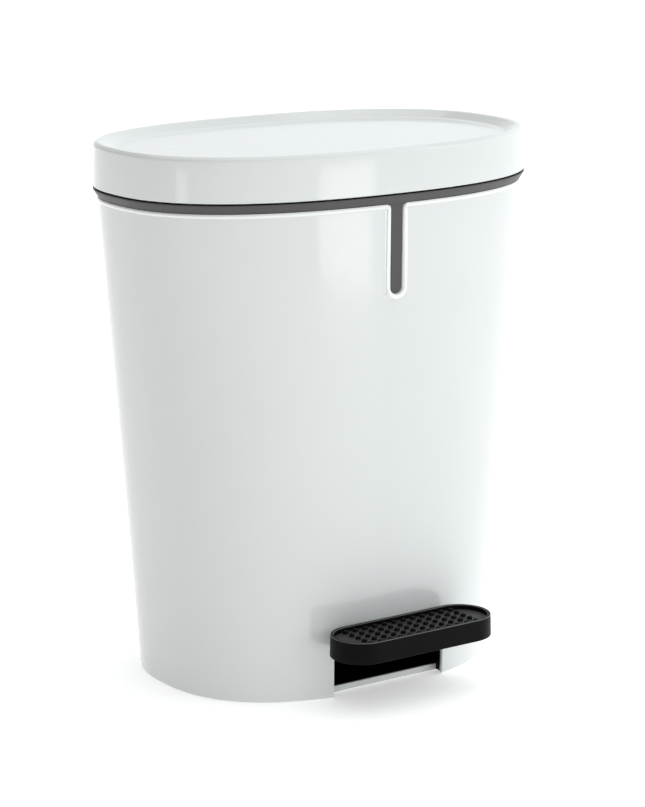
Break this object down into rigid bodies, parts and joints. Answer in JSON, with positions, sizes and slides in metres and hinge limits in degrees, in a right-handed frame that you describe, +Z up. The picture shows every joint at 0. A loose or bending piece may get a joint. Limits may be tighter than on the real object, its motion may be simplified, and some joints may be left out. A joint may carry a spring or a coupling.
{
  "type": "pedal trash can",
  "caption": "Oval kitchen pedal bin with a tapered glossy shell, grey rim ring, hinged lid opened by a foot pedal through a lever and push rod, and a lift-out inner bucket.",
  "frame": {"origin": "on the floor, at the centre of the bounding box's base", "axes": "+Z up; -Y towards the pedal and the user; +X to the right seen from the pedal side"},
  "size_m": [0.3816, 0.2992, 0.45],
  "materials": {
    "shell_plastic": "glossy moulded, white",
    "ring_plastic": "satin moulded, dark grey",
    "bucket_plastic": "satin moulded, light grey",
    "black_plastic": "satin moulded, black",
    "tread_rubber": "moulded with raised pips, black",
    "foot_rubber": "matt, dark grey",
    "steel": "zinc plated, dull"
  },
  "bodies": {
    "housing": {"outer_shell": "shell_plastic", "rim_ring": "ring_plastic", "inner_bucket": "bucket_plastic", "base_plate": "black_plastic", "rod_channel": "shell_plastic", "rod_guide_lower": "black_plastic", "rod_guide_upper": "black_plastic", "pedal_axle": "steel", "hinge_bracket_left": "shell_plastic", "hinge_pin_left": "steel", "hinge_screw_left_lower": "steel", "hinge_screw_left_upper": "steel", "axle_clip_left": "steel", "foot_front_left": "foot_rubber", "base_screw_front_left": "steel", "foot_rear_left": "foot_rubber", "base_screw_rear_left": "steel", "hinge_bracket_right": "shell_plastic", "hinge_pin_right": "steel", "hinge_screw_right_lower": "steel", "hinge_screw_right_upper": "steel", "axle_clip_right": "steel", "foot_front_right": "foot_rubber", "base_screw_front_right": "steel", "foot_rear_right": "foot_rubber", "base_screw_rear_right": "steel"},
    "lid": {"lid_cover": "shell_plastic", "lid_lift_cam": "shell_plastic", "lid_bumper_left": "foot_rubber", "cam_screw_left": "steel", "lid_bumper_right": "foot_rubber", "cam_screw_right": "steel"},
    "pedal": {"pedal_lever": "black_plastic", "pedal_shoe": "black_plastic", "pedal_tread": "tread_rubber", "pedal_screw_left": "steel", "pedal_screw_right": "steel"},
    "rod": {"push_rod": "steel", "rod_tip": "black_plastic", "rod_foot": "black_plastic"}
  },
  "joints": [
    {"name": "lid_hinge", "type": "hinge", "parent": "housing", "child": "lid", "pos_m": [0, 0.1444, 0.411], "axis": [-1, 0, 0], "range_deg": [0, 75]},
    {"name": "pedal_pivot", "type": "hinge", "parent": "housing", "child": "pedal", "pos_m": [0, 0.0084, 0.032], "axis": [1, 0, 0], "range_deg": [0, 13.8]},
    {"name": "rod_slide", "type": "slide", "parent": "housing", "child": "rod", "axis": [0, 0, 1], "range_m": [0, 0.0276]}
  ],
  "couplings": [
    {"joint": "pedal_pivot", "follows": "lid_hinge", "ratio": 0.18261},
    {"joint": "rod_slide", "follows": "lid_hinge", "m_per_rad": 0.021}
  ]
}
